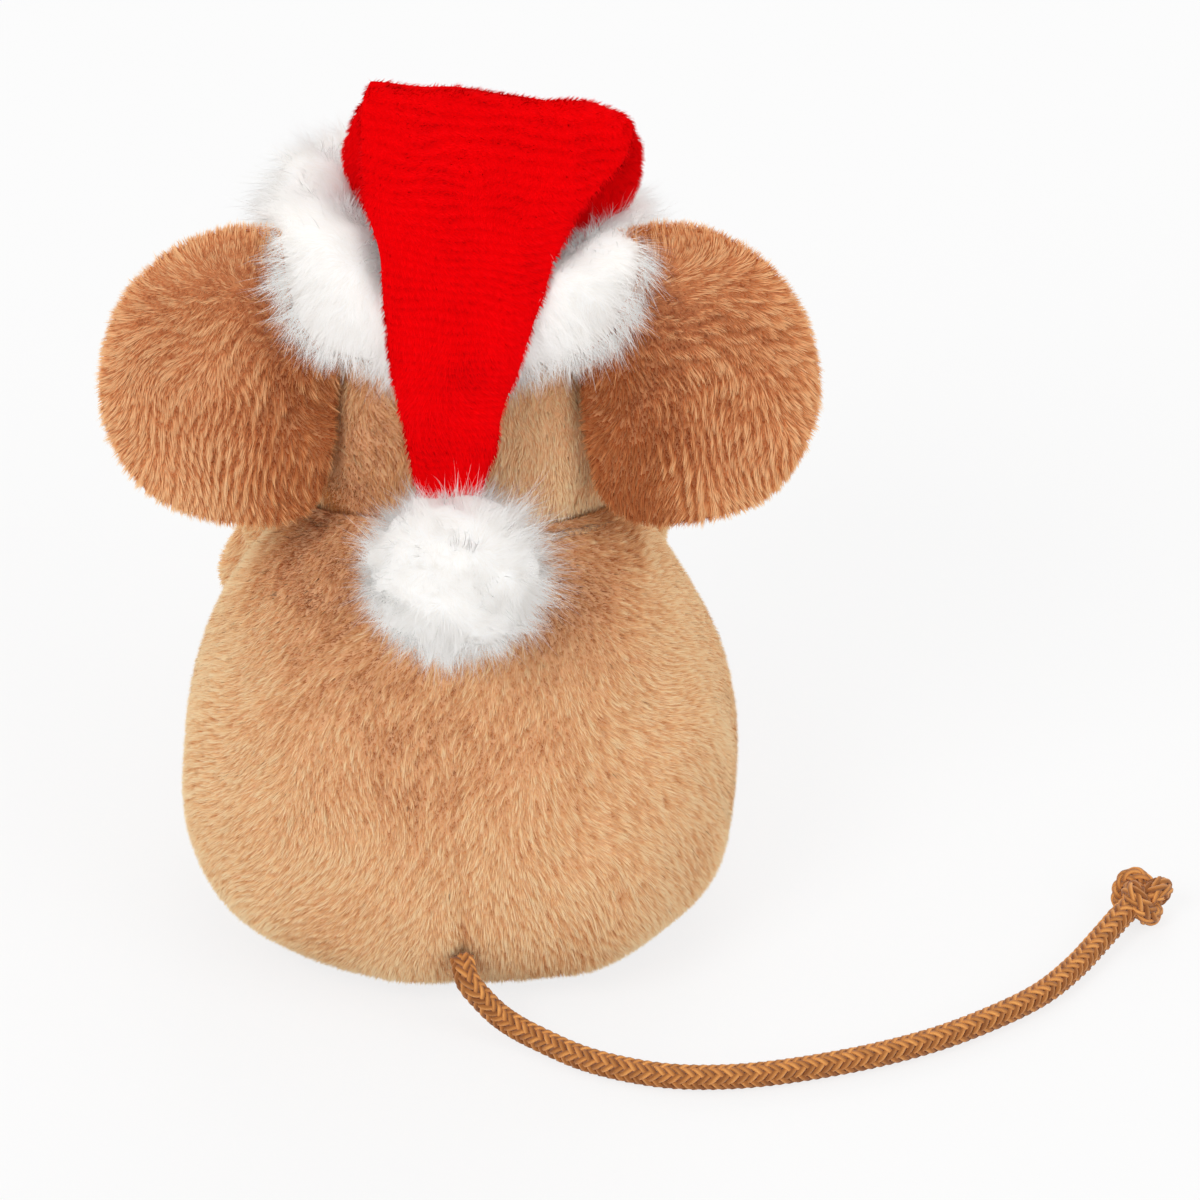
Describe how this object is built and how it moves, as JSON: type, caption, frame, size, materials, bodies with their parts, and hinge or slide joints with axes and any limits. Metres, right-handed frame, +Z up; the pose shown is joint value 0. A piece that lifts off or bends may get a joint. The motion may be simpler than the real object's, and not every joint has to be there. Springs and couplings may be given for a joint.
{
  "type": "plush toy mouse",
  "caption": "Sitting stuffed mouse with round ears, a folded red hat with fur trim and pompom, a squeaker inside and a braided cord tail ending in a knot.",
  "frame": {"origin": "on the floor, in the middle of the flat seat under the body", "axes": "+Z up, +Y the way the mouse faces, +X its right-hand side, so that the tail lies towards +X"},
  "size_m": [0.1488, 0.1089, 0.126],
  "materials": {
    "plush": "short tan plush pile",
    "ear_plush": "short brown plush pile in fine ribs",
    "red_plush": "short red velour pile",
    "white_fur": "long soft white pile",
    "cord": "braided brown cord",
    "thread": "twisted sewing thread",
    "dark_thread": "stiff dark thread",
    "fill": "loose white fibre filling",
    "bead": "polished black plastic",
    "plastic": "plain moulded plastic"
  },
  "bodies": {
    "body": {"body_cover": "plush", "seat_panel": "plush", "stuffing_lower": "fill", "stuffing_upper": "fill", "squeaker_bulb": "plastic", "squeaker_reed": "plastic", "tail_anchor_knot": "cord"},
    "neck": {"neck_stitch": "thread"},
    "head": {"head_cover": "plush", "head_stuffing": "fill", "nose": "bead", "nose_washer": "plastic", "eye_left": "bead", "eye_left_washer": "plastic", "eye_right": "bead", "eye_right_washer": "plastic", "whiskers_left": "dark_thread", "whiskers_right": "dark_thread", "hat_crown": "red_plush", "hat_stuffing": "fill", "hat_trim": "white_fur"},
    "ear_left": {"ear_back_left": "ear_plush", "ear_front_left": "ear_plush"},
    "ear_right": {"ear_back_right": "ear_plush", "ear_front_right": "ear_plush"},
    "hat_flap": {"hat_flap": "red_plush"},
    "pompom": {"hat_pompom": "white_fur"},
    "arm_left": {"arm_left_cover": "plush", "arm_left_stuffing": "fill"},
    "arm_right": {"arm_right_cover": "plush", "arm_right_stuffing": "fill"},
    "foot_left": {"foot_left_cover": "plush", "foot_left_stuffing": "fill"},
    "foot_right": {"foot_right_cover": "plush", "foot_right_stuffing": "fill"},
    "tail": {"tail_cord": "cord", "tail_knot": "cord"}
  },
  "joints": [
    {"name": "head_turn", "type": "hinge", "parent": "body", "child": "neck", "pos_m": [0, 0.0118, 0.0758], "axis": [0, 0.4067, 0.9135], "range_deg": [-15, 15], "stiffness_Nm_per_rad": 0.05},
    {"name": "head_nod", "type": "hinge", "parent": "neck", "child": "head", "pos_m": [0, 0.0118, 0.0758], "axis": [-1, 0, 0], "range_deg": [0, 10], "stiffness_Nm_per_rad": 0.08},
    {"name": "ear_left_bend", "type": "hinge", "parent": "head", "child": "ear_left", "pos_m": [-0.02128, -0.00826, 0.08293], "axis": [0.17, 0.1649, 0.9715], "range_deg": [-15, 15], "stiffness_Nm_per_rad": 0.01},
    {"name": "ear_right_bend", "type": "hinge", "parent": "head", "child": "ear_right", "pos_m": [0.02128, -0.00826, 0.08293], "axis": [-0.17, 0.1649, 0.9715], "range_deg": [-15, 15], "stiffness_Nm_per_rad": 0.01},
    {"name": "hat_flap_lift", "type": "hinge", "parent": "head", "child": "hat_flap", "pos_m": [0.0053, 0.012, 0.12162], "axis": [-0.9905, 0, 0.1373], "range_deg": [0, 150]},
    {"name": "pompom_swing", "type": "hinge", "parent": "hat_flap", "child": "pompom", "pos_m": [-0.0009, -0.02301, 0.08331], "axis": [-1, 0, 0], "range_deg": [0, 75]},
    {"name": "arm_left_raise", "type": "hinge", "parent": "body", "child": "arm_left", "pos_m": [-0.02532, 0.02316, 0.05], "axis": [1, 0, 0], "range_deg": [0, 45], "stiffness_Nm_per_rad": 0.01},
    {"name": "arm_right_raise", "type": "hinge", "parent": "body", "child": "arm_right", "pos_m": [0.02532, 0.02316, 0.05], "axis": [1, 0, 0], "range_deg": [0, 45], "stiffness_Nm_per_rad": 0.01},
    {"name": "foot_left_lift", "type": "hinge", "parent": "body", "child": "foot_left", "pos_m": [-0.01891, 0.03392, 0.008], "axis": [1, 0, 0], "range_deg": [0, 15], "stiffness_Nm_per_rad": 0.02},
    {"name": "foot_right_lift", "type": "hinge", "parent": "body", "child": "foot_right", "pos_m": [0.01891, 0.03392, 0.008], "axis": [1, 0, 0], "range_deg": [0, 15], "stiffness_Nm_per_rad": 0.02},
    {"name": "tail_swing", "type": "hinge", "parent": "body", "child": "tail", "pos_m": [0, -0.0329, 0.0109], "axis": [0, 0, 1], "range_deg": [-25, 15]}
  ]
}
